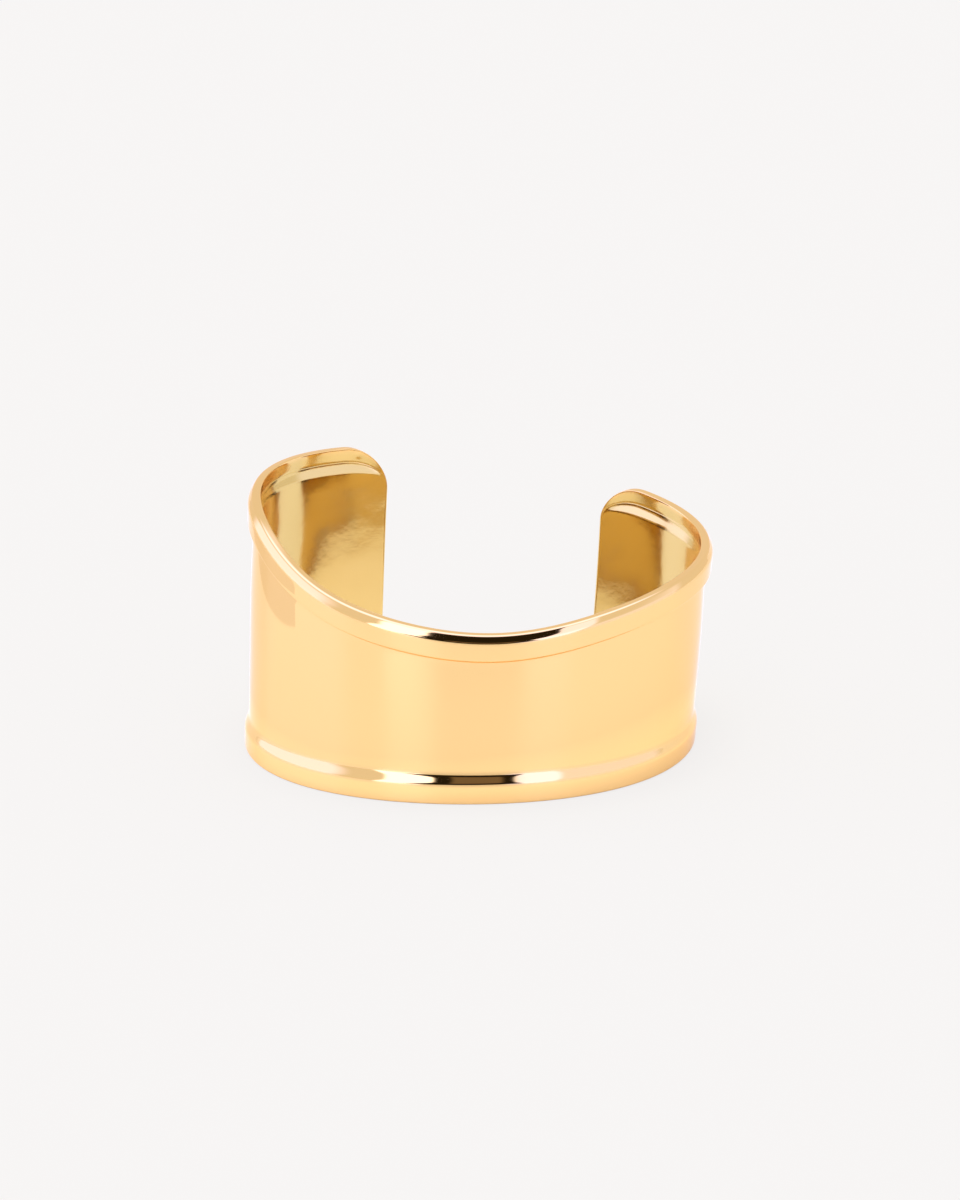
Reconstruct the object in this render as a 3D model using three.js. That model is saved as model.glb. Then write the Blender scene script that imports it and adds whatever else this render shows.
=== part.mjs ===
// A woman's wide cuff bracelet, one sheet of gold-plated brass bent round into an open oval.
// Both long edges are pressed out into a low rim, which leaves a shallow channel inside.
// The cuff stands on its lower edge. Millimetres, +Z up, the front faces -Y and the gap is at +Y.
// The band is one section, swept along an oval, whose height changes from angle to angle.
import * as THREE from "three";

// ---------- driving dimensions, mm ----------
const HALF_WIDTH = 30.4; // middle to the side, on the wall's outer face at the foot
const HALF_DEPTH = 25.7; // middle to the front, on the same face
const FULLNESS = 0.01; // how much squarer than an ellipse the oval is
const END_ANGLE = 151.3; // degrees from the middle of the front to each end of the band
const SHEET = 0.95; // thickness of the sheet
const UPPER_RIM_OUT = 0.83; // how far the upper rim stands out of the wall
const LOWER_RIM_OUT = 0.55; // and the lower rim
const CHANNEL_IN = 0.42; // how deep the channel behind a rim is
const SHOULDER_IN = 0.62; // how far the bevel above the upper rim leans back
const FLARE = 0.027; // mm outwards for each mm up
const LEAN = 0.07; // mm towards +X for each mm up, the whole band together
const LEFT_ARM_LEAN = 0.1; // mm towards the front for each mm up, where an arm is furthest back
const RIGHT_ARM_LEAN = 0.035;
const NECK_IN = 0.36; // how far the wall is drawn in under the upper rim
const NECK_TOP = 3.95; // from the top edge down to where the neck starts
const NECK_REACH = 13; // and how far down it runs out

// Height of the band. Angle 0 is the middle of the front, 90 the +X side, -90 the -X side.
const HEIGHTS = [
  { angle: -151, height: 35.4 },
  { angle: -125, height: 36.1 },
  { angle: -95, height: 36.3 },
  { angle: -65, height: 33.7 },
  { angle: -40, height: 28.6 },
  { angle: -15, height: 25.1 },
  { angle: 10, height: 23.8 },
  { angle: 35, height: 25.4 },
  { angle: 60, height: 27.1 },
  { angle: 90, height: 28.0 },
  { angle: 120, height: 28.8 },
  { angle: 151, height: 30.4 },
];

// The section's corners, up the outside, over the top, down the inside.
// out: from the wall's outer face. up: from the edge that the corner follows.
// round: how far from the corner its rounding starts.
const INSIDE = -SHEET;
const CHANNEL = CHANNEL_IN - SHEET;
const SECTION = [
  { corner: "foot, outside", follows: "foot", out: LOWER_RIM_OUT, up: 0, round: 0.3 },
  { corner: "lower rim, crease", follows: "foot", out: LOWER_RIM_OUT, up: 2.75, round: 0.12 },
  { corner: "lower ledge, top", follows: "foot", out: 0, up: 4.2, round: 0.15 },
  { corner: "upper rim, root", follows: "top", out: 0, up: -3.95, round: 0.25 },
  { corner: "upper rim, under edge", follows: "top", out: UPPER_RIM_OUT, up: -3.5, round: 0.2 },
  { corner: "upper rim, crease", follows: "top", out: UPPER_RIM_OUT, up: -1.0, round: 0.35 },
  { corner: "top, outside", follows: "top", out: UPPER_RIM_OUT - SHOULDER_IN, up: 0, round: 0.3 },
  { corner: "top, inside", follows: "top", out: INSIDE, up: 0, round: 0.2 },
  { corner: "upper channel, top", follows: "top", out: CHANNEL, up: -1.9, round: 0.3 },
  { corner: "upper channel, bottom", follows: "top", out: CHANNEL, up: -2.45, round: 0.2 },
  { corner: "upper inner ledge", follows: "top", out: INSIDE, up: -3.6, round: 0.3 },
  { corner: "lower inner ledge", follows: "foot", out: INSIDE, up: 3.6, round: 0.3 },
  { corner: "lower channel, top", follows: "foot", out: CHANNEL, up: 2.4, round: 0.2 },
  { corner: "lower channel, bottom", follows: "foot", out: CHANNEL, up: 1.9, round: 0.3 },
  { corner: "foot, inside", follows: "foot", out: INSIDE, up: 0, round: 0.12 },
];

// Rounded ends: the radius of each corner of the sheet's outline.
const LEFT_TOP_RADIUS = 6.9; // at the -X end
const RIGHT_TOP_RADIUS = 6.6; // at the +X end
const FOOT_RADIUS = 4.5; // at both ends
const RIM_ZONE = 4.7; // the height that a rim, its ledge and its channel take up
const LEAST_ZONE = 1.2; // what a rim is squeezed to where a corner cuts it off
const ZONE_BLEND = 1.5; // how gently the squeeze starts
const END_ROUND = 0.5; // the cut end of the sheet is rounded over this length
const END_THIN = 0.35; // share of the sheet's thickness left at the very end

// ---------- how finely the faces are cut ----------
const BODY_STATIONS = 61; // between the two end zones
const END_STATIONS = 9; // in each end zone
const END_ZONE = 15; // degrees, a little more than the largest corner takes
const ROUND_STEPS = 2; // edges round each corner of the section
const WALL_STEPS = 5; // rows between the two rims

const DEGREE = Math.PI / 180;

// Natural cubic spline through the height table, as a function of the angle in degrees.
function heightCurve(table) {
  const last = table.length - 1;
  const x = table.map((row) => row.angle);
  const y = table.map((row) => row.height);
  const step = (i) => x[i + 1] - x[i];
  const slope = (i) => (y[i + 1] - y[i]) / step(i);
  const bend = new Array(last + 1).fill(0); // second derivative at each row
  const ratio = new Array(last + 1).fill(0);
  for (let i = 1; i < last; i++) {
    const pivot = 2 * (x[i + 1] - x[i - 1]) - step(i - 1) * ratio[i - 1];
    ratio[i] = step(i) / pivot;
    bend[i] = (6 * (slope(i) - slope(i - 1)) - step(i - 1) * bend[i - 1]) / pivot;
  }
  for (let i = last - 1; i > 0; i--) bend[i] -= ratio[i] * bend[i + 1];
  return (angle) => {
    let i = 0;
    while (i < last - 1 && angle > x[i + 1]) i++;
    const h = step(i);
    const after = (angle - x[i]) / h;
    const before = 1 - after;
    const curve = (before ** 3 - before) * bend[i] + (after ** 3 - after) * bend[i + 1];
    return before * y[i] + after * y[i + 1] + (curve * h * h) / 6;
  };
}

// The foot's oval and its direction of travel at an angle in radians.
function ovalPoint(a) {
  const x = HALF_WIDTH * (Math.sin(a) + FULLNESS * Math.sin(3 * a));
  const y = -HALF_DEPTH * (Math.cos(a) - FULLNESS * Math.cos(3 * a));
  return new THREE.Vector3(x, y, 0).divideScalar(1 - FULLNESS);
}

function ovalDirection(a) {
  const x = HALF_WIDTH * (Math.cos(a) + 3 * FULLNESS * Math.cos(3 * a));
  const y = HALF_DEPTH * (Math.sin(a) - 3 * FULLNESS * Math.sin(3 * a));
  return new THREE.Vector3(x, y, 0).divideScalar(1 - FULLNESS);
}

// Arc length of the foot's oval from an angle to the end of the band, by the midpoint rule.
function distanceToEnd(angle) {
  const steps = 64;
  const width = (END_ANGLE - Math.abs(angle)) / steps;
  let sum = 0;
  for (let i = 0; i < steps; i++) {
    const a = (Math.abs(angle) + (i + 0.5) * width) * DEGREE;
    sum += ovalDirection(a).length() * width * DEGREE;
  }
  return sum;
}

// How far a rounded corner of the outline has fallen at a distance from the end.
function cornerDrop(radius, distance) {
  const inside = Math.max(0, radius - distance);
  return radius - Math.sqrt(radius * radius - inside * inside);
}

// The height left for a rim where the corner takes some of it: never under LEAST_ZONE.
function zoneLeft(drop) {
  const left = RIM_ZONE - drop;
  const t = THREE.MathUtils.clamp(0.5 + (LEAST_ZONE - left) / (2 * ZONE_BLEND), 0, 1);
  return THREE.MathUtils.lerp(left, LEAST_ZONE, t) + ZONE_BLEND * t * (1 - t);
}

// Points round the section of a band of full height: each corner is rounded by a quadratic curve,
// and the two walls get rows between their rims.
function sectionPoints(height) {
  const corners = SECTION.map((c) => {
    const up = c.follows === "foot" ? c.up : height + c.up;
    return new THREE.Vector2(c.out, up);
  });
  const points = [];
  corners.forEach((corner, i) => {
    const j = (i + 1) % corners.length;
    const previous = corners[(i + corners.length - 1) % corners.length];
    const next = corners[j];
    const round = SECTION[i].round;
    const start = previous.clone().sub(corner).setLength(round).add(corner);
    const end = next.clone().sub(corner).setLength(round).add(corner);
    const curve = new THREE.QuadraticBezierCurve(start, corner, end);
    points.push(...curve.getPoints(ROUND_STEPS));
    if (SECTION[i].follows !== SECTION[j].follows) {
      const far = corner.clone().sub(next).setLength(SECTION[j].round).add(next);
      for (let row = 1; row < WALL_STEPS; row++) points.push(end.clone().lerp(far, row / WALL_STEPS));
    }
  });
  return points;
}

// One station of the sweep: the section at an angle, as points in space.
const heightAt = heightCurve(HEIGHTS);
function station(angle) {
  const full = heightAt(angle);
  const distance = distanceToEnd(angle);
  const drop = cornerDrop(angle < 0 ? LEFT_TOP_RADIUS : RIGHT_TOP_RADIUS, distance);
  const lift = cornerDrop(FOOT_RADIUS, distance);
  const topZone = zoneLeft(drop);
  const footZone = zoneLeft(lift);
  const fromEnd = Math.min(1, distance / END_ROUND);
  const thick = END_THIN + (1 - END_THIN) * Math.sqrt(1 - (1 - fromEnd) ** 2);

  const a = angle * DEGREE;
  const foot = ovalPoint(a);
  const direction = ovalDirection(a);
  const outward = new THREE.Vector3(direction.y, -direction.x, 0).normalize();
  const back = Math.min(0, Math.cos(a));
  const armLean = (angle < 0 ? LEFT_ARM_LEAN : RIGHT_ARM_LEAN) * back ** 4;

  return sectionPoints(full).map(({ x: out, y: up }) => {
    // Squeeze the rims between the outline and their own straight inner lines.
    let z;
    let fade = 1;
    if (up > full - RIM_ZONE) {
      z = full - drop - ((full - up) * topZone) / RIM_ZONE;
      fade = (topZone - LEAST_ZONE) / (RIM_ZONE - LEAST_ZONE);
    } else if (up < RIM_ZONE) {
      z = lift + (up * footZone) / RIM_ZONE;
      fade = (footZone - LEAST_ZONE) / (RIM_ZONE - LEAST_ZONE);
    } else {
      const share = (up - RIM_ZONE) / (full - 2 * RIM_ZONE);
      z = THREE.MathUtils.lerp(lift + footZone, full - drop - topZone, share);
    }
    // Where a corner cuts a rim off, the rim flattens into the sheet.
    const face = out > INSIDE / 2 ? 0 : INSIDE;
    const formed = face + (out - face) * fade;
    const thinned = INSIDE / 2 + (formed - INSIDE / 2) * thick;
    const below = THREE.MathUtils.clamp((full - z - NECK_TOP) / NECK_REACH, 0, 1);
    const push = thinned + FLARE * z - NECK_IN * (1 - below) ** 2;
    const rise = new THREE.Vector3(LEAN * z, -armLean * z, z);
    return foot.clone().addScaledVector(outward, push).add(rise);
  });
}

// Angles of the stations: even along the body, closer and closer towards each end.
function stationAngles() {
  const body = END_ANGLE - END_ZONE;
  const angles = [];
  for (let i = 0; i < END_STATIONS; i++) {
    const turn = ((i / END_STATIONS) * Math.PI) / 2;
    angles.push(-END_ANGLE + END_ZONE * (1 - Math.cos(turn)));
  }
  for (let i = 0; i <= BODY_STATIONS; i++) angles.push(-body + (2 * body * i) / BODY_STATIONS);
  return [...angles, ...angles.slice(0, END_STATIONS).reverse().map((angle) => -angle)];
}

// Joins the stations into one closed surface, with a cap on each end of the band.
function sweptBand() {
  const rings = stationAngles().map(station);
  const count = rings[0].length;
  const positions = rings.flat().flatMap((p) => [p.x, p.y, p.z]);
  const index = [];
  for (let ring = 0; ring < rings.length - 1; ring++) {
    for (let i = 0; i < count; i++) {
      const near = ring * count;
      const far = near + count;
      const j = (i + 1) % count;
      index.push(near + i, far + i, far + j, near + i, far + j, near + j);
    }
  }
  // Each cap is triangulated in the plane of its own section: out along the face, and up.
  for (const ring of [0, rings.length - 1]) {
    const base = ring * count;
    const across = rings[ring][0].clone().setZ(0).normalize();
    const flat = rings[ring].map((p) => new THREE.Vector2(p.dot(across), p.z));
    for (const [i, j, k] of THREE.ShapeUtils.triangulateShape(flat, [])) {
      index.push(...(ring ? [base + k, base + j, base + i] : [base + i, base + j, base + k]));
    }
  }
  const geometry = new THREE.BufferGeometry();
  geometry.setAttribute("position", new THREE.Float32BufferAttribute(positions, 3));
  geometry.setIndex(index);
  geometry.computeVertexNormals();
  return geometry;
}

// The origin is the middle of the band's box, on the surface that it stands on.
const band = sweptBand();
band.computeBoundingBox();
const middle = band.boundingBox.getCenter(new THREE.Vector3());
band.translate(-middle.x, -middle.y, -band.boundingBox.min.z);

const polishedGold = new THREE.MeshStandardMaterial({
  color: 0xf6cf86,
  roughness: 0.08,
  metalness: 1,
});
const cuffBand = new THREE.Mesh(band, polishedGold);
cuffBand.name = "cuff_band";

const cuff = new THREE.Group();
cuff.add(cuffBand);

export default cuff;
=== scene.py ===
import math

import bmesh
import bpy
import numpy as np
from mathutils import Matrix, Vector


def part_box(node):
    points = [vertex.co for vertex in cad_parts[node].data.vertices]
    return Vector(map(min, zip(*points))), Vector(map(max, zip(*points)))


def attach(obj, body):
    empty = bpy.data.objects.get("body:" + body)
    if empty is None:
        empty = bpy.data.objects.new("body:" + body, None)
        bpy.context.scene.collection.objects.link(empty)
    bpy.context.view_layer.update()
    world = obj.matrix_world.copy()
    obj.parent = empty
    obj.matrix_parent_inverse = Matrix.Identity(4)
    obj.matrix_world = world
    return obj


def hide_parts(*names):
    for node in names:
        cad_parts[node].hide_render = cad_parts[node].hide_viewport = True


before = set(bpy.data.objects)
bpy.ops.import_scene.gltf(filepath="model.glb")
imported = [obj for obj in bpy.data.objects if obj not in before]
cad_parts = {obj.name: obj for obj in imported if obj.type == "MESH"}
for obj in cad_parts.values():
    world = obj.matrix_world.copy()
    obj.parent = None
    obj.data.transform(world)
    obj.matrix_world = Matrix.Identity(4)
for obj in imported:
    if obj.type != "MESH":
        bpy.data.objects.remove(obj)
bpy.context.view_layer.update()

MM = 0.001

# ---------- the cuff's own sizes, mm ----------
HALF_WIDTH = 30.4  # the oval at the foot, on the wall's outer face
HALF_DEPTH = 25.7
FULLNESS = 0.01  # how much squarer than an ellipse the oval is
END_ANGLE = 151.3  # degrees from the middle of the front to each end
SHEET = 0.95
UPPER_RIM_OUT = 0.83  # a pressed rim stands this far out of the wall
LOWER_RIM_OUT = 0.55
CHANNEL_IN = 0.42  # and leaves a channel this deep inside
SHOULDER_IN = 0.62  # the bevel above the upper rim leans back this far
FLARE = 0.027  # mm outwards for each mm up
LEAN = 0.07  # mm towards +X for each mm up, the whole band together
LEFT_ARM_LEAN = 0.1  # mm towards the front for each mm up, where an arm is furthest back
RIGHT_ARM_LEAN = 0.035
NECK_IN = 0.36  # under the upper rim the wall is drawn in this far
NECK_TOP = 3.95  # from the top edge down to where the neck starts
NECK_REACH = 13.0  # and how far down it runs out
NECK_POWER = 2.0  # how quickly it fades on the way down
ARM_LEAN_POWER = 4.0  # how late an arm's own lean sets in, from the middle of the side to the back

# Height of the band by angle: 0 is the middle of the front, 90 the +X side, -90 the -X side.
HEIGHTS = {
    "angle": (-151, -125, -95, -65, -40, -15, 10, 35, 60, 90, 120, 151),
    "height": (35.4, 36.1, 36.3, 33.7, 28.6, 25.1, 23.8, 25.4, 27.1, 28.0, 28.8, 30.4),
}

# The section's corners, up the outside, over the top and down the inside.
# out: from the wall's outer face. up: from the edge that the corner follows.
# round: how far from the corner its rounding starts.
INSIDE = -SHEET
CHANNEL = CHANNEL_IN - SHEET
SECTION = (
    # corner                    follows   out                          up     round
    ("foot, outside",           "foot",   LOWER_RIM_OUT,               0.0,   0.40),
    ("lower rim, crease",       "foot",   LOWER_RIM_OUT,               2.75,  0.35),
    ("lower ledge, top",        "foot",   0.0,                         4.2,   0.45),
    ("upper rim, root",         "top",    0.0,                         -3.95, 0.12),
    ("upper rim, under edge",   "top",    UPPER_RIM_OUT,               -3.5,  0.15),
    ("upper rim, crease",       "top",    UPPER_RIM_OUT,               -1.0,  0.35),
    ("top, outside",            "top",    UPPER_RIM_OUT - SHOULDER_IN, 0.0,   0.30),
    ("top, inside",             "top",    INSIDE,                      0.0,   0.30),
    ("upper channel, top",      "top",    CHANNEL,                     -1.9,  0.22),
    ("upper channel, bottom",   "top",    CHANNEL,                     -2.45, 0.33),
    ("upper inner ledge",       "top",    INSIDE,                      -3.6,  0.30),
    ("lower inner ledge",       "foot",   INSIDE,                      3.6,   0.30),
    ("lower channel, top",      "foot",   CHANNEL,                     2.4,   0.15),
    ("lower channel, bottom",   "foot",   CHANNEL,                     1.9,   0.40),
    ("foot, inside",            "foot",   INSIDE,                      0.0,   0.16),
)

LEFT_TOP_RADIUS = 6.9  # rounded corners of the sheet's outline
RIGHT_TOP_RADIUS = 6.6
FOOT_RADIUS = 4.5
RIM_ZONE = 4.7  # the height that a rim, its ledge and its channel take up
LEAST_ZONE = 1.2  # what a rim is squeezed to where a corner cuts it off
ZONE_BLEND = 1.5
END_ROUND = 0.5  # the cut end of the sheet is rounded over this length
END_THIN = 0.35  # share of the thickness left at the very end

# A small dent in the inner face, by the left end.
DENT_ANGLE = -142.0
DENT_BELOW = 0.85  # mm below the top edge
DENT_SPREAD = 0.36
DENT_DEPTH = 0.13
DENT_MM_A_DEGREE = 0.47  # length of the sheet for each degree there

# ---------- how finely the mesh is cut ----------
BODY_STATIONS = 400
END_STATIONS = 30
END_ZONE = 15.0  # degrees
ROUND_STEPS = 7  # edges round each corner of the section
FLAT_STEPS = 4  # edges along each short flat
OUTER_WALL_STEPS = 24
INNER_WALL_STEPS = 13  # fewer, so that both sides of the sheet have as many points
OVAL_STEPS = 64  # steps from a station to the end, when the arc's length is added up

# ---------- the polish: outside by a wheel, inside by a felt bob ----------
BOB_FROM = 0.2  # mm below the top edge, on the inner face
BOB_BLEND = 0.6
WAVE_LENGTH = 9 * MM  # slow waves
WHEEL_WAVE = 0.03 * MM  # their height outside
BOB_WAVE = 0.2 * MM  # and inside
SWIRL_LENGTH = 1.2 * MM  # hairline swirls
WHEEL_SWIRL = 0.0006 * MM
BOB_SWIRL = 0.012 * MM
WHEEL_ROUGHNESS = 0.05
BOB_ROUGHNESS = 0.14
WHEEL_GOLD = "#EDC580"
INSIDE_PAINTED_SHADE_GOLD = "#DDBE76"  # painted shade: darker gold on the inner face, so the inside looks deeper
EDGE_ON_GOLD = "#FFF0DC"


# ---------- the pressed sheet, before it is bent ----------

def height_curve(angles):
    """Natural cubic spline through the height table."""
    x, y = (np.array(HEIGHTS[name], float) for name in ("angle", "height"))
    step = np.diff(x)
    slope = np.diff(y) / step
    equations = np.eye(len(x))
    change = np.zeros(len(x))
    for i in range(1, len(x) - 1):
        equations[i, i - 1 : i + 2] = step[i - 1], 2 * (step[i - 1] + step[i]), step[i]
        change[i] = 6 * (slope[i] - slope[i - 1])
    bend = np.linalg.solve(equations, change)
    i = np.clip(np.searchsorted(x, angles) - 1, 0, len(x) - 2)
    after = (angles - x[i]) / step[i]
    before = 1 - after
    curve = (before**3 - before) * bend[i] + (after**3 - after) * bend[i + 1]
    return before * y[i] + after * y[i + 1] + curve * step[i] ** 2 / 6


def station_angles():
    """Degrees round the cuff: even along the body, closer and closer towards each end."""
    turn = np.arange(END_STATIONS) / END_STATIONS * math.pi / 2
    left = -END_ANGLE + END_ZONE * (1 - np.cos(turn))
    body = np.linspace(END_ZONE - END_ANGLE, END_ANGLE - END_ZONE, BODY_STATIONS + 1)
    return np.concatenate([left, body, -left[::-1]])


def distance_to_end(angles):
    """Arc length of the foot's oval from each station to the nearer end."""
    width = (END_ANGLE - np.abs(angles)) / OVAL_STEPS
    middles = np.radians(np.abs(angles)[:, None] + (np.arange(OVAL_STEPS) + 0.5) * width[:, None])
    along = HALF_WIDTH * (np.cos(middles) + 3 * FULLNESS * np.cos(3 * middles))
    back = HALF_DEPTH * (np.sin(middles) - 3 * FULLNESS * np.sin(3 * middles))
    return np.hypot(along, back).sum(axis=1) * np.radians(width) / (1 - FULLNESS)


def corner_drop(radius, distance):
    """How far a rounded corner of the outline has fallen at a distance from the end."""
    inside = np.maximum(0, radius - distance)
    return radius - np.sqrt(radius**2 - inside**2)


def zone_left(drop):
    """The height left for a rim where the corner takes some of it."""
    left = RIM_ZONE - drop
    t = np.clip(0.5 + (LEAST_ZONE - left) / (2 * ZONE_BLEND), 0, 1)
    return left + (LEAST_ZONE - left) * t + ZONE_BLEND * t * (1 - t)


def section_points(height):
    """Points (out, up) round the section of a band of this height, corners rounded."""
    _, follows, outs, ups, rounds = zip(*SECTION)
    corners = [np.array((out, up + (height if edge == "top" else 0.0)))
               for edge, out, up in zip(follows, outs, ups)]
    points = []
    for i, corner in enumerate(corners):
        j = (i + 1) % len(corners)
        to_last = corners[i - 1] - corner
        to_next = corners[j] - corner
        start = corner + to_last * rounds[i] / np.linalg.norm(to_last)
        end = corner + to_next * rounds[i] / np.linalg.norm(to_next)
        for t in np.linspace(0, 1, ROUND_STEPS + 1):
            points.append((1 - t) ** 2 * start + 2 * t * (1 - t) * corner + t**2 * end)
        far = corners[j] - to_next * rounds[j] / np.linalg.norm(to_next)
        steps = FLAT_STEPS
        if follows[i] != follows[j]:
            steps = OUTER_WALL_STEPS if corner[0] > INSIDE / 2 else INNER_WALL_STEPS
        for t in np.arange(1, steps) / steps:
            points.append(end + (far - end) * t)
    return np.array(points)


def pressed_sheet():
    """Each point of the flat sheet: angle, out, up, depth below the full top, and how far inside.

    The last is 0 where the wheel polished it and 1 where the bob did; it also sets the inner face's
    darker gold, which is painted shade.
    """
    angles = station_angles()
    heights = height_curve(angles)
    distance = distance_to_end(angles)
    drop = corner_drop(np.where(angles < 0, LEFT_TOP_RADIUS, RIGHT_TOP_RADIUS), distance)
    lift = corner_drop(FOOT_RADIUS, distance)
    from_end = np.minimum(1, distance / END_ROUND)
    thick = END_THIN + (1 - END_THIN) * np.sqrt(1 - (1 - from_end) ** 2)
    stations = []
    for angle, full, fall, rise, thickness in zip(angles, heights, drop, lift, thick):
        out, up = section_points(full).T
        top_zone, foot_zone = zone_left(fall), zone_left(rise)
        near_top, near_foot = up > full - RIM_ZONE, up < RIM_ZONE
        # Rims are squeezed between the cut outline and their own straight inner lines.
        share = (up - RIM_ZONE) / (full - 2 * RIM_ZONE)
        z = rise + foot_zone + (full - fall - top_zone - rise - foot_zone) * share
        z = np.where(near_top, full - fall - (full - up) * top_zone / RIM_ZONE, z)
        z = np.where(near_foot, rise + up * foot_zone / RIM_ZONE, z)
        zone = np.where(near_top, top_zone, np.where(near_foot, foot_zone, RIM_ZONE))
        fade = (zone - LEAST_ZONE) / (RIM_ZONE - LEAST_ZONE)
        face = np.where(out > INSIDE / 2, 0.0, INSIDE)
        formed = face + (out - face) * fade
        thinned = INSIDE / 2 + (formed - INSIDE / 2) * thickness
        dent_off = np.hypot((angle - DENT_ANGLE) * DENT_MM_A_DEGREE, full - fall - z - DENT_BELOW)
        thinned = thinned + face / INSIDE * DENT_DEPTH * np.exp(-(dent_off / DENT_SPREAD) ** 2)
        inside = face / INSIDE * np.clip((full - up - BOB_FROM) / BOB_BLEND, 0, 1)
        stations.append(np.stack([np.full_like(z, angle), thinned, z, full - z, inside], axis=1))
    return np.array(stations)


def flat_mesh(stations):
    """One closed shell from the stations, with a cap of quads across each cut end."""
    rows, count = stations.shape[:2]
    near = np.arange(rows - 1)[:, None] * count + np.arange(count)
    nxt = np.arange(rows - 1)[:, None] * count + (np.arange(count) + 1) % count
    faces = np.stack([near, near + count, nxt + count, nxt], axis=2).reshape(-1, 4).tolist()
    for first, turned in ((0, False), ((rows - 1) * count, True)):
        for i in range(count // 2 - 1):
            quad = [first + i, first + i + 1, first + count - 2 - i, first + count - 1 - i]
            faces.append(quad[::-1] if turned else quad)
    mesh = bpy.data.meshes.new("cuff_band_sheet")
    mesh.from_pydata(stations[..., :3].reshape(-1, 3).tolist(), [], faces)
    for column, name in enumerate(("angle", "out", "up", "depth", "inside")):
        values = mesh.attributes.new(name, "FLOAT", "POINT")
        values.data.foreach_set("value", stations[..., column].reshape(-1).astype(np.float32))
    return mesh


# ---------- nodes ----------

def add(tree, kind, inputs=None, **settings):
    """Adds a node with its settings. An input is a socket to link or a value to set."""
    node = tree.nodes.new(kind)
    for name, value in settings.items():
        setattr(node, name, value)
    for name, value in (inputs or {}).items():
        if isinstance(value, bpy.types.NodeSocket):
            tree.links.new(value, node.inputs[name])
        else:
            node.inputs[name].default_value = value
    return node


def add_maths(tree):
    """A function that adds a maths node to this tree and gives its result."""
    def maths(operation, a, b=0.0, c=0.0, **settings):
        inputs = {0: a, 1: b, 2: c}
        return add(tree, "ShaderNodeMath", inputs, operation=operation, **settings).outputs[0]
    return maths


def ramp(tree, value, start, end, low=0.0, high=1.0, **settings):
    """Low before the start and high past the end, with an even rise between them."""
    inputs = {"Value": value, "From Min": start, "From Max": end, "To Min": low, "To Max": high}
    return add(tree, "ShaderNodeMapRange", inputs, **settings).outputs[0]


def mixed(tree, share, a, b):
    """The first colour where the share is 0, the second where it is 1."""
    inputs = {0: share, "A": a, "B": b}
    return add(tree, "ShaderNodeMix", inputs, data_type="RGBA").outputs["Result"]


def emptied(owner):
    """The node tree of a new material or world, with nothing in it."""
    owner.use_nodes = True
    owner.node_tree.nodes.clear()
    return owner.node_tree


BEND_SIZES = {
    "Half Width": HALF_WIDTH, "Half Depth": HALF_DEPTH, "Fullness": FULLNESS, "Flare": FLARE,
    "Lean": LEAN, "Left Arm Lean": LEFT_ARM_LEAN, "Right Arm Lean": RIGHT_ARM_LEAN,
    "Neck In": NECK_IN, "Neck Top": NECK_TOP, "Neck Reach": NECK_REACH, "Unit": MM,
}


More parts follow.
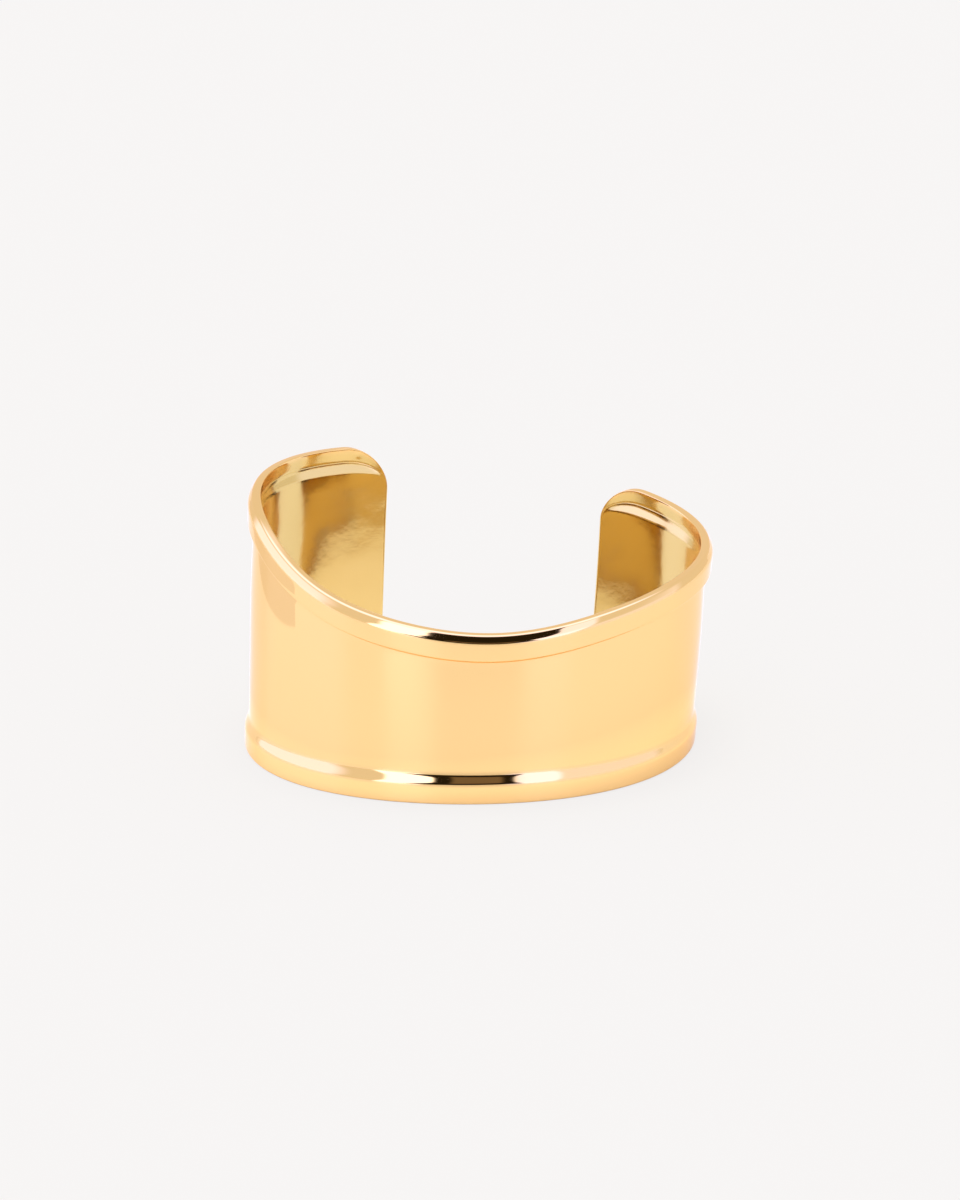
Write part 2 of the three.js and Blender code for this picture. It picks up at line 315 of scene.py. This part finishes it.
def bending_tree():
    """Geometry nodes that bend the pressed sheet round the oval, lean it and flare it."""
    tree = bpy.data.node_groups.new("bend_sheet_round_oval", "GeometryNodeTree")
    tree.interface.new_socket("Geometry", in_out="INPUT", socket_type="NodeSocketGeometry")
    for name in BEND_SIZES:
        tree.interface.new_socket(name, in_out="INPUT", socket_type="NodeSocketFloat")
    tree.interface.new_socket("Metal", in_out="INPUT", socket_type="NodeSocketMaterial")
    tree.interface.new_socket("Geometry", in_out="OUTPUT", socket_type="NodeSocketGeometry")
    size = add(tree, "NodeGroupInput").outputs
    maths = add_maths(tree)

    def read(name):
        inputs = {"Name": name}
        return add(tree, "GeometryNodeInputNamedAttribute", inputs, data_type="FLOAT").outputs[0]

    def vector(x, y, z=0.0):
        return add(tree, "ShaderNodeCombineXYZ", {"X": x, "Y": y, "Z": z}).outputs[0]

    angle = maths("RADIANS", read("angle"))
    triple = maths("MULTIPLY", angle, 3.0)
    full = size["Fullness"]
    triple_full = maths("MULTIPLY", full, 3.0)
    grown = maths("SUBTRACT", 1.0, full)
    half_width = maths("DIVIDE", size["Half Width"], grown)
    half_depth = maths("DIVIDE", size["Half Depth"], grown)
    sine, cosine = maths("SINE", angle), maths("COSINE", angle)
    sine3, cosine3 = maths("SINE", triple), maths("COSINE", triple)
    minus_cosine = maths("MULTIPLY", cosine, -1.0)
    oval = vector(
        maths("MULTIPLY", half_width, maths("MULTIPLY_ADD", full, sine3, sine)),
        maths("MULTIPLY", half_depth, maths("MULTIPLY_ADD", full, cosine3, minus_cosine)),
    )
    # At right angles to the oval's own direction.
    along = maths("MULTIPLY", half_width, maths("MULTIPLY_ADD", triple_full, cosine3, cosine))
    back = maths("SUBTRACT", sine, maths("MULTIPLY", triple_full, sine3))
    back = maths("MULTIPLY", half_depth, back)
    across = vector(back, maths("MULTIPLY", along, -1.0))
    outward = add(tree, "ShaderNodeVectorMath", {0: across}, operation="NORMALIZE").outputs[0]
    up = read("up")
    flared = maths("MULTIPLY_ADD", up, size["Flare"], read("out"))
    below = maths("SUBTRACT", read("depth"), size["Neck Top"])
    run_out = maths("SUBTRACT", 1.0, maths("DIVIDE", below, size["Neck Reach"], use_clamp=True))
    neck = maths("MULTIPLY", maths("POWER", run_out, NECK_POWER), size["Neck In"])
    push = maths("SUBTRACT", flared, neck)
    wall = add(tree, "ShaderNodeVectorMath", {0: outward, 1: vector(push, push, push), 2: oval},
               operation="MULTIPLY_ADD").outputs[0]
    # Behind the middle, each arm leans towards the front as well.
    backward = maths("POWER", maths("MINIMUM", cosine, 0.0), ARM_LEAN_POWER)
    on_left = maths("LESS_THAN", angle, 0.0)
    left_lean = maths("MULTIPLY", on_left, size["Left Arm Lean"])
    right_lean = maths("MULTIPLY", maths("SUBTRACT", 1.0, on_left), size["Right Arm Lean"])
    forward = maths("MULTIPLY", backward, maths("ADD", left_lean, right_lean))
    to_front = maths("MULTIPLY", up, maths("MULTIPLY", forward, -1.0))
    rise = vector(maths("MULTIPLY", up, size["Lean"]), to_front, up)
    place = add(tree, "ShaderNodeVectorMath", {0: wall, 1: rise}, operation="ADD").outputs[0]
    metres = add(tree, "ShaderNodeVectorMath", {0: place, "Scale": size["Unit"]},
                 operation="SCALE").outputs[0]
    bent = add(tree, "GeometryNodeSetPosition",
               {"Geometry": size["Geometry"], "Position": metres}).outputs[0]
    smooth = add(tree, "GeometryNodeSetShadeSmooth",
                 {"Geometry": bent, "Shade Smooth": True}).outputs[0]
    whole = add(tree, "GeometryNodeRealizeInstances", {"Geometry": smooth}).outputs[0]
    plated = add(tree, "GeometryNodeSetMaterial",
                 {"Geometry": whole, "Material": size["Metal"]}).outputs[0]
    add(tree, "NodeGroupOutput", {"Geometry": plated})
    return tree


# ---------- materials ----------

def linear(hex_colour):
    """An sRGB hex value as a linear RGBA colour."""
    channels = [int(hex_colour[i : i + 2], 16) / 255 for i in (1, 3, 5)]
    return tuple(c / 12.92 if c <= 0.04045 else ((c + 0.055) / 1.055) ** 2.4 for c in channels) + (1.0,)


def polished_gold_plate():
    """Yellow gold plated over buffed brass: a mirror outside, a little softer and wavier inside, its
    gold painted darker there as painted shade.

    The eye sees the studio in it: pale where a soft box stands, deep gold where it mirrors itself.
    """
    metal = bpy.data.materials.new("polished_gold_plate")
    tree = emptied(metal)
    place = add(tree, "ShaderNodeTexCoord").outputs["Object"]
    inside = add(tree, "ShaderNodeAttribute", attribute_name="inside").outputs["Fac"]

    def buffed(length, detail, wheel_height, bob_height, **under):
        """Soft bumps this many metres apart, of one height outside and another inside."""
        noise = add(tree, "ShaderNodeTexNoise", {
            "Vector": place, "Scale": 1 / length, "Detail": detail})
        return add(tree, "ShaderNodeBump", {
            "Height": noise.outputs[0],
            "Strength": 1.0,
            "Distance": ramp(tree, inside, 0.0, 1.0, wheel_height, bob_height),
            **under,
        }).outputs[0]

    # Buffing leaves slow waves, worse inside where only a small felt bob reaches.
    slow = buffed(WAVE_LENGTH, 1.0, WHEEL_WAVE, BOB_WAVE)
    # Hairline swirls, drawn coarser than real ones so that they show.
    fine = buffed(SWIRL_LENGTH, 3.0, WHEEL_SWIRL, BOB_SWIRL, Normal=slow)
    shader = add(tree, "ShaderNodeBsdfPrincipled", {
        # Base colour: the wheel gold outside, and a darker gold inside as painted shade
        "Base Color": mixed(tree, inside, linear(WHEEL_GOLD), linear(INSIDE_PAINTED_SHADE_GOLD)),
        "Metallic": 1.0,
        "Specular Tint": linear(EDGE_ON_GOLD),
        "Roughness": ramp(tree, inside, 0.0, 1.0, WHEEL_ROUGHNESS, BOB_ROUGHNESS),
        "Normal": fine,
    })
    add(tree, "ShaderNodeOutputMaterial", {"Surface": shader.outputs[0]})
    return metal


def for_camera_only(tree, shown, felt):
    """Shows the camera one closure and everything else another."""
    seen = add(tree, "ShaderNodeLightPath").outputs["Is Camera Ray"]
    return add(tree, "ShaderNodeMixShader", {0: seen, 1: felt, 2: shown}).outputs[0]


def pale_floor_paint():
    """Satin white board, painted lighter round and inside the cuff and darker behind it as painted
    light and shade, with a darker beige patch on it to the left.

    The eye sees it as an overexposed sweep, nearly without shade. The metal mirrors the board itself.
    """
    paint = bpy.data.materials.new("pale_floor")
    tree = emptied(paint)
    maths = add_maths(tree)
    place = add(tree, "ShaderNodeTexCoord").outputs["Object"]
    sides = add(tree, "ShaderNodeSeparateXYZ", {0: place}).outputs
    across, depth = sides["X"], sides["Y"]
    # Painted shade: the board is painted darker behind the cuff.
    painted_shade_share = ramp(tree, depth, BEHIND_FROM, BEHIND_TO)
    painted_board_tone = mixed(tree, painted_shade_share, linear(BOARD), linear(BOARD_PAINTED_SHADE))
    # Painted light: the board is painted lighter round and inside the cuff.
    round_foot = add(tree, "ShaderNodeVectorMath", {0: place, 1: (1.0, HALF_WIDTH / HALF_DEPTH, 1.0)},
                     operation="MULTIPLY").outputs[0]
    away = add(tree, "ShaderNodeVectorMath", {0: round_foot}, operation="LENGTH").outputs["Value"]
    painted_board_tone = mixed(tree, ramp(tree, away, NEAR_TO, NEAR_FROM), painted_board_tone, linear(BOARD_PAINTED_LIGHT))

    def within(value, low, high):
        above_low = maths("GREATER_THAN", value, low)
        return maths("MULTIPLY", above_low, maths("GREATER_THAN", high, value))

    # A darker beige patch on the board, left of the cuff.
    patch_side = ramp(tree, depth, PATCH_FRONT, PATCH_BACK, *PATCH_SIDE)
    patch = maths("MULTIPLY", within(across, PATCH_LEFT, patch_side), within(depth, PATCH_FRONT, PATCH_BACK))
    board = add(tree, "ShaderNodeBsdfPrincipled", {
        "Base Color": mixed(tree, patch, painted_board_tone, linear(LEFT_PATCH)),
        "Roughness": BOARD_ROUGHNESS,
        "Specular IOR Level": BOARD_GLOSS,
    }).outputs[0]
    sweep_colour = linear(SWEEP_COLOUR)
    matt = [CONTACT_SHADE * sweep_colour[i] / OPEN_FLOOR_LIGHT[i] for i in range(3)]
    glow = add(tree, "ShaderNodeEmission", {"Color": sweep_colour, "Strength": 1 - CONTACT_SHADE})
    faint = add(tree, "ShaderNodeBsdfDiffuse", {"Color": (*matt, 1.0)})
    sweep = add(tree, "ShaderNodeAddShader", {0: glow.outputs[0], 1: faint.outputs[0]}).outputs[0]
    add(tree, "ShaderNodeOutputMaterial", {"Surface": for_camera_only(tree, sweep, board)})
    return paint


# ---------- the piece ----------

def placed(name, data):
    """A new object with this data, linked to the scene."""
    thing = bpy.data.objects.new(name, data)
    bpy.context.scene.collection.objects.link(thing)
    return thing


def cuff_band():
    """The bent band, and how far it was moved to stand in the middle of its node's box."""
    sheet = placed("cuff_band_sheet", flat_mesh(pressed_sheet()))
    bend = sheet.modifiers.new("bend", "NODES")
    bend.node_group = bending_tree()
    values = {**BEND_SIZES, "Metal": polished_gold_plate()}
    for socket in bend.node_group.interface.items_tree:
        if socket.in_out == "INPUT" and socket.name in values:
            bend[socket.identifier] = values[socket.name]
    evaluated = sheet.evaluated_get(bpy.context.evaluated_depsgraph_get())
    mesh = bpy.data.meshes.new_from_object(evaluated)
    bpy.data.objects.remove(sheet)
    # The band's box and the node's box share their middle and their floor.
    corners = np.empty(len(mesh.vertices) * 3)
    mesh.vertices.foreach_get("co", corners)
    corners = corners.reshape(-1, 3)
    low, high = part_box("cuff_band")
    middle = (corners.min(axis=0) + corners.max(axis=0)) / 2
    shift = Vector(((low.x + high.x) / 2 - middle[0], (low.y + high.y) / 2 - middle[1], low.z))
    mesh.transform(Matrix.Translation(shift))
    mesh.name = "cuff_band_polished"
    return placed("cuff_band_polished", mesh), shift


band, oval_middle = cuff_band()
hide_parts("cuff_band")
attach(band, "root")


# ---------- the studio ----------

FLOOR_RADIUS = 4.0
FLOOR_SIDES = 96
SWEEP_COLOUR = "#F7F5F4"
CONTACT_SHADE = 0.13  # how much of the floor's shade the camera sees
OPEN_FLOOR_LIGHT = (1.92, 1.94, 2.55)  # what falls on the floor away from the cuff
BOARD, BOARD_PAINTED_SHADE = "#D4D4CB", "#CFD1CC"  # painted shade: darker behind the cuff, where the light falls off
BEHIND_FROM, BEHIND_TO = 5 * MM, 30 * MM
BOARD_PAINTED_LIGHT = "#E8E7DC"  # painted light: lighter round and inside the cuff
NEAR_FROM, NEAR_TO = 34 * MM, 46 * MM  # from the middle out along X, where that painted light fades
BOARD_ROUGHNESS = 0.3
BOARD_GLOSS = 0.1
# A darker beige patch on the board, left of the cuff: its front, its back, its far side, and where the
# side towards the cuff starts and ends. Only the metal shows it, as the camera sees plain board.
LEFT_PATCH = "#C2BFB2"
PATCH_FRONT, PATCH_BACK, PATCH_LEFT = -19 * MM, 90 * MM, -190 * MM
PATCH_SIDE = (-108 * MM, -94 * MM)

# Soft boxes round the table, by where their middle stands: degrees from the front towards +X,
# and up from the table. Colours are linear, as strong as the metal mirrors them.
SOFT_BOXES = (
    # name               middle  half width  fade   top   fade   colour
    ("left window",        -84,     28,       12,    34,   14,   (0.51, 0.60, 1.82)),
    ("strip beside it",    -20,      8,        3,    52,    8,   (1.37, 1.48, 2.96)),
    ("right strip",         31,      8,        5,    44,   12,   (0.46, 0.57, 1.82)),
    ("right screen",        66,     38,       12,    16,   16,   (0.23, 0.28, 0.80)),
)
TILT = 0.25  # the lights lean towards +X, degrees for each degree up between these two
TILT_FROM, TILT_TO = 28, 50
ROOM = (0.98, 0.98, 1.14)
CEILING = (1.70, 1.80, 3.50)
CEILING_FROM, CEILING_TO = 50, 68  # degrees up
# The dark gap between the front lights, in degrees round and up.
DARK_ROOM = (0.022, 0.016, 0.009)
GAP_MIDDLE, GAP_HALF_WIDTH, GAP_FADE = 4.5, 13.6, 2
GAP_FROM, GAP_FULL = 1, 5
GAP_WAIST = 18  # it is narrowest this far up, and widens by GAP_WIDENS for each degree off it
GAP_WIDENS = 0.54
GAP_WIDENS_TO = 6.3  # degrees above the waist, and no wider beyond
# A dim brown lamp in the gap, at the height of its waist.
DIM_LAMP = (0.19, 0.145, 0.12)
LAMP_MIDDLE, LAMP_HALF_WIDTH, LAMP_FADE = 6, 8, 3
LAMP_HALF_HEIGHT, LAMP_TOP_FADE = 2, 4

FILL_LAMPS = (
    # name          from the front  up   spread  strength  colour
    ("front fill",        3,        35,    40,     0.5,    (1.0, 1.0, 1.0)),
    ("overhead lamp",     0,        90,    25,     2.1,    (1.0, 0.97, 0.82)),
)

CAMERA_AZIMUTH = 5.7  # degrees from the middle of the front towards +X
CAMERA_ELEVATION = 19.0
CAMERA_DISTANCE = 0.700
CAMERA_ROLL = -1.13  # degrees, turned clockwise
CAMERA_TARGET_HEIGHT = 14 * MM
CAMERA_LENS = 153.8  # mm
CAMERA_SENSOR = 36  # mm, along the picture's long side
CAMERA_SHIFT = (0.0101, 0.0340)
CAMERA_CLIP = (0.01, 20)  # metres


def direction(azimuth, elevation):
    """Which way lies this many degrees from the front towards +X, and this many degrees up."""
    turn, up = math.radians(azimuth), math.radians(elevation)
    return Vector((math.sin(turn) * math.cos(up), -math.cos(turn) * math.cos(up), math.sin(up)))


def studio_floor():
    mesh = bpy.data.meshes.new("studio_floor")
    shape = bmesh.new()
    bmesh.ops.create_circle(shape, cap_ends=True, radius=FLOOR_RADIUS, segments=FLOOR_SIDES)
    shape.to_mesh(mesh)
    shape.free()
    mesh.materials.append(pale_floor_paint())
    placed("studio_floor", mesh)


def studio_walls():
    """Soft boxes with a dark gap between the front ones. The camera sees one plain pale tone."""
    world = bpy.data.worlds.new("soft_box_studio")
    bpy.context.scene.world = world
    tree = emptied(world)
    maths = add_maths(tree)
    axes = add(tree, "ShaderNodeSeparateXYZ", {
        0: add(tree, "ShaderNodeTexCoord").outputs["Generated"]}).outputs

    def fade(value, dark_at, light_at):
        return ramp(tree, value, dark_at, light_at, interpolation_type="SMOOTHSTEP")

    def between(value, middle, half_width, blur):
        away = maths("ABSOLUTE", maths("SUBTRACT", value, middle))
        return fade(away, half_width + blur, half_width)

    def scaled(colour, share):
        inputs = {0: colour, "Scale": share}
        return add(tree, "ShaderNodeVectorMath", inputs, operation="SCALE").outputs[0]

    def plus(a, b):
        return add(tree, "ShaderNodeVectorMath", {0: a, 1: b}, operation="ADD").outputs[0]

    above = maths("DEGREES", maths("ARCSINE", axes["Z"]))
    turn = maths("DEGREES", maths("ARCTAN2", axes["X"], maths("MULTIPLY", axes["Y"], -1.0)))
    tilted_by = maths("SUBTRACT", maths("MINIMUM", above, TILT_TO), TILT_FROM)
    around = maths("SUBTRACT", turn, maths("MULTIPLY", tilted_by, TILT))
    high = fade(above, CEILING_FROM, CEILING_TO)

    light = mixed(tree, high, (*ROOM, 1.0), (*CEILING, 1.0))
    for _, middle, half_width, blur, top, top_blur, colour in SOFT_BOXES:
        below_top = fade(above, top + top_blur, top)
        lit = maths("MULTIPLY", between(around, middle, half_width, blur), below_top)
        light = plus(light, scaled(colour, lit))

    off_waist = maths("SUBTRACT", above, GAP_WAIST)
    widening = maths("MAXIMUM", maths("MULTIPLY", off_waist, -1.0),
                     maths("MINIMUM", off_waist, GAP_WIDENS_TO))
    off_middle = maths("ABSOLUTE", maths("SUBTRACT", around, GAP_MIDDLE))
    gap_edge = maths("SUBTRACT", off_middle, maths("MULTIPLY", widening, GAP_WIDENS))
    gap_height = maths("MULTIPLY", fade(above, GAP_FROM, GAP_FULL), maths("SUBTRACT", 1.0, high))
    gap = maths("MULTIPLY", fade(gap_edge, GAP_HALF_WIDTH + GAP_FADE, GAP_HALF_WIDTH), gap_height)
    light = plus(scaled(light, maths("SUBTRACT", 1.0, gap)), scaled(DARK_ROOM, gap))

    lamp = maths("MULTIPLY", between(around, LAMP_MIDDLE, LAMP_HALF_WIDTH, LAMP_FADE),
                 between(above, GAP_WAIST, LAMP_HALF_HEIGHT, LAMP_TOP_FADE))
    light = plus(light, scaled(DIM_LAMP, lamp))
    studio = add(tree, "ShaderNodeBackground", {"Color": light}).outputs[0]
    sweep = add(tree, "ShaderNodeBackground", {"Color": linear(SWEEP_COLOUR)}).outputs[0]
    add(tree, "ShaderNodeOutputWorld", {"Surface": for_camera_only(tree, sweep, studio)})


def fill_lamps():
    """Broad lamps that the metal doesn't mirror: they lift the table, inside the cuff as well."""
    for name, azimuth, elevation, spread, strength, colour in FILL_LAMPS:
        light = bpy.data.lights.new(name, "SUN")
        light.energy = strength
        light.color = colour
        light.angle = math.radians(spread)
        lamp = placed(name, light)
        lamp.visible_glossy = False
        lamp.matrix_world = direction(azimuth, elevation).to_track_quat("Z", "Y").to_matrix().to_4x4()


def studio_camera():
    lens = bpy.data.cameras.new("studio_camera")
    lens.lens = CAMERA_LENS
    lens.sensor_width = CAMERA_SENSOR
    lens.shift_x, lens.shift_y = CAMERA_SHIFT
    lens.clip_start, lens.clip_end = CAMERA_CLIP
    camera = placed("studio_camera", lens)
    back = direction(CAMERA_AZIMUTH, CAMERA_ELEVATION)
    target = Vector((oval_middle.x, oval_middle.y, CAMERA_TARGET_HEIGHT))
    turn = (-back).to_track_quat("-Z", "Y").to_matrix().to_4x4()
    roll = Matrix.Rotation(math.radians(CAMERA_ROLL), 4, "Z")
    camera.matrix_world = Matrix.Translation(target + back * CAMERA_DISTANCE) @ turn @ roll
    bpy.context.scene.camera = camera


studio_floor()
studio_walls()
fill_lamps()
studio_camera()
bpy.context.scene.view_settings.view_transform = "Standard"
